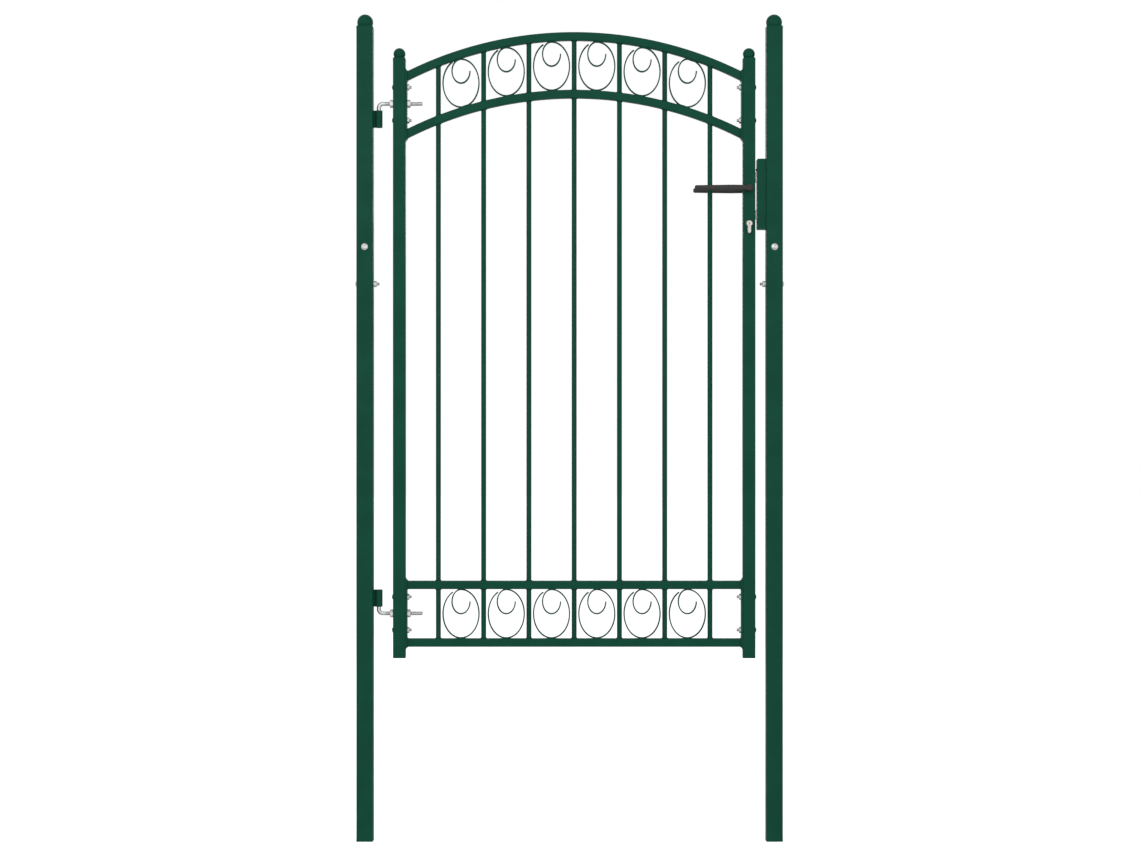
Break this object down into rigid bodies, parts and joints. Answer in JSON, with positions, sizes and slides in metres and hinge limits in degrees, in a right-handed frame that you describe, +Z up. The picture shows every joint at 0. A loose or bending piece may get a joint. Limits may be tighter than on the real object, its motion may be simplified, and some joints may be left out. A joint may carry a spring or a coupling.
{
  "type": "garden gate",
  "caption": "Arched barred steel garden gate with scrolls, hung between ball-capped posts on J-bolt hinges, with a lever lock.",
  "frame": {"origin": "midway between the two posts, on the level of their feet and in the middle of their depth", "axes": "+X from the hinge post to the latch post, +Y away from the front, +Z up"},
  "size_m": [1.0384, 0.088, 2],
  "materials": {
    "green_powder_coat": "satin moss-green powder coat on steel tube",
    "zinc_plate": "bright zinc-plated steel",
    "black_lever": "black powder-coated die casting",
    "nickel_plate": "satin nickel-plated brass",
    "black_rubber": "matt moulded rubber"
  },
  "bodies": {
    "posts": {"hinge_post_lower": "green_powder_coat", "hinge_post_upper": "green_powder_coat", "latch_post_lower": "green_powder_coat", "latch_post_upper": "green_powder_coat", "post_sleeves": "zinc_plate", "hinge_post_cap": "green_powder_coat", "latch_post_cap": "green_powder_coat", "post_bolts": "zinc_plate", "post_nuts": "zinc_plate", "upper_hinge_barrel": "green_powder_coat", "lower_hinge_barrel": "green_powder_coat", "hinge_lugs": "green_powder_coat", "strike_box": "green_powder_coat", "strike_buffer": "black_rubber"},
    "leaf": {"hinge_upright": "green_powder_coat", "latch_upright": "green_powder_coat", "hinge_upright_cap": "green_powder_coat", "latch_upright_cap": "green_powder_coat", "top_arch_rail": "green_powder_coat", "lower_arch_rail": "green_powder_coat", "middle_rail": "green_powder_coat", "bottom_rail": "green_powder_coat", "hinge_end_plates": "green_powder_coat", "latch_end_plates": "green_powder_coat", "bar_1": "green_powder_coat", "bar_2": "green_powder_coat", "bar_3": "green_powder_coat", "bar_4": "green_powder_coat", "bar_5": "green_powder_coat", "bar_6": "green_powder_coat", "bar_7": "green_powder_coat", "top_scroll_1": "green_powder_coat", "top_scroll_2": "green_powder_coat", "top_scroll_3": "green_powder_coat", "top_scroll_4": "green_powder_coat", "top_scroll_5": "green_powder_coat", "top_scroll_6": "green_powder_coat", "bottom_scroll_1": "green_powder_coat", "bottom_scroll_2": "green_powder_coat", "bottom_scroll_3": "green_powder_coat", "bottom_scroll_4": "green_powder_coat", "bottom_scroll_5": "green_powder_coat", "bottom_scroll_6": "green_powder_coat", "upper_hinge_bolt": "zinc_plate", "lower_hinge_bolt": "zinc_plate", "hinge_nuts": "zinc_plate", "leaf_bolts": "green_powder_coat", "leaf_nuts": "zinc_plate", "lock_case": "zinc_plate", "lock_face_plate": "zinc_plate", "face_plate_screws": "zinc_plate", "cylinder_screw": "zinc_plate", "cylinder_body": "nickel_plate"},
    "handle": {"front_lever": "black_lever", "rear_lever": "black_lever", "lever_spindle": "zinc_plate", "latch_follower": "zinc_plate"},
    "latch": {"latch_bolt": "zinc_plate"},
    "key_plug": {"cylinder_plug": "nickel_plate"},
    "deadbolt": {"dead_bolt": "zinc_plate"}
  },
  "joints": [
    {"name": "gate_swing", "type": "hinge", "parent": "posts", "child": "leaf", "pos_m": [-0.462, 0, 1.17], "axis": [0, 0, 1], "range_deg": [-90, 90]},
    {"name": "handle_turn", "type": "hinge", "parent": "leaf", "child": "handle", "pos_m": [0.434, 0, 1.5775], "axis": [0, -1, 0], "range_deg": [0, 40], "stiffness_Nm_per_rad": 1, "springref_deg": -20.05},
    {"name": "latch_slide", "type": "slide", "parent": "leaf", "child": "latch", "axis": [-1, 0, 0], "range_m": [0, 0.0105]},
    {"name": "key_turn", "type": "hinge", "parent": "leaf", "child": "key_plug", "pos_m": [0.434, 0, 1.4925], "axis": [0, -1, 0], "range_deg": [0, 360]},
    {"name": "deadbolt_slide", "type": "slide", "parent": "leaf", "child": "deadbolt", "axis": [-1, 0, 0], "range_m": [0, 0.014]}
  ],
  "couplings": [
    {"joint": "latch_slide", "follows": "handle_turn", "m_per_rad": 0.01504},
    {"joint": "key_turn", "follows": "deadbolt_slide", "rad_per_m": 448.79}
  ]
}
